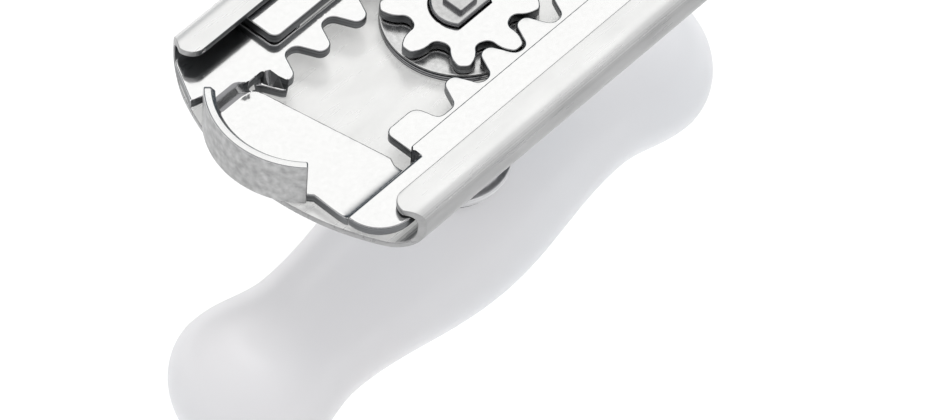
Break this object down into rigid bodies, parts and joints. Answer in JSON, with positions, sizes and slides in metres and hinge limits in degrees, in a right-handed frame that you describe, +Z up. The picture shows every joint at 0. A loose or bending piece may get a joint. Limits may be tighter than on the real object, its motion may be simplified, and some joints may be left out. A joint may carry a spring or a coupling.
{
  "type": "jar opener",
  "caption": "Hand opener for screw lids: a twist knob drives a pinion that slides two lipped rack jaws along a flanged steel channel.",
  "frame": {"origin": "on the rest plane under the pinion axis, at the middle of the knob", "axes": "+X along the channel and the knob, +Z up along the shaft from the knob to the jaws, +Y across the channel on the side of the near jaw's rack"},
  "size_m": [0.098, 0.0446, 0.0599],
  "materials": {
    "channel_steel": "stamped stainless sheet, bright with a fine grain along its length",
    "jaw_steel": "polished stamped steel with darker blanked edges",
    "neck_steel": "satin turned steel",
    "shaft_steel": "turned steel with fine lathe rings",
    "knob_plastic": "smooth glossy white moulding",
    "bush_plastic": "plain black bearing plastic",
    "screw_steel": "plain zinc-plated fasteners"
  },
  "bodies": {
    "head": {"channel_housing": "channel_steel", "neck_tube": "neck_steel", "neck_collar": "neck_steel", "floor_bush": "bush_plastic", "upper_bush": "bush_plastic", "lower_bush": "bush_plastic"},
    "knob_drive": {"drive_shaft": "shaft_steel", "pinion": "jaw_steel", "thrust_disc": "shaft_steel", "slip_washer": "bush_plastic", "knob_shell": "knob_plastic", "knob_cover": "knob_plastic", "knob_hub": "shaft_steel", "hub_washer": "screw_steel", "hub_nut": "screw_steel", "cover_screw_near": "screw_steel", "cover_screw_far": "screw_steel"},
    "near_slider": {"near_jaw": "jaw_steel"},
    "far_slider": {"far_jaw": "jaw_steel"}
  },
  "joints": [
    {"name": "knob_turn", "type": "hinge", "parent": "head", "child": "knob_drive", "pos_m": [0, 0, 0.036], "axis": [0, 0, 1], "range_deg": [-85, 45]},
    {"name": "near_jaw_slide", "type": "slide", "parent": "head", "child": "near_slider", "axis": [1, 0, 0], "range_m": [-0.0071, 0.0134]},
    {"name": "far_jaw_slide", "type": "slide", "parent": "head", "child": "far_slider", "axis": [1, 0, 0], "range_m": [-0.0134, 0.0071]}
  ],
  "couplings": [
    {"joint": "near_jaw_slide", "follows": "knob_turn", "m_per_rad": -0.009},
    {"joint": "far_jaw_slide", "follows": "knob_turn", "m_per_rad": 0.009}
  ]
}
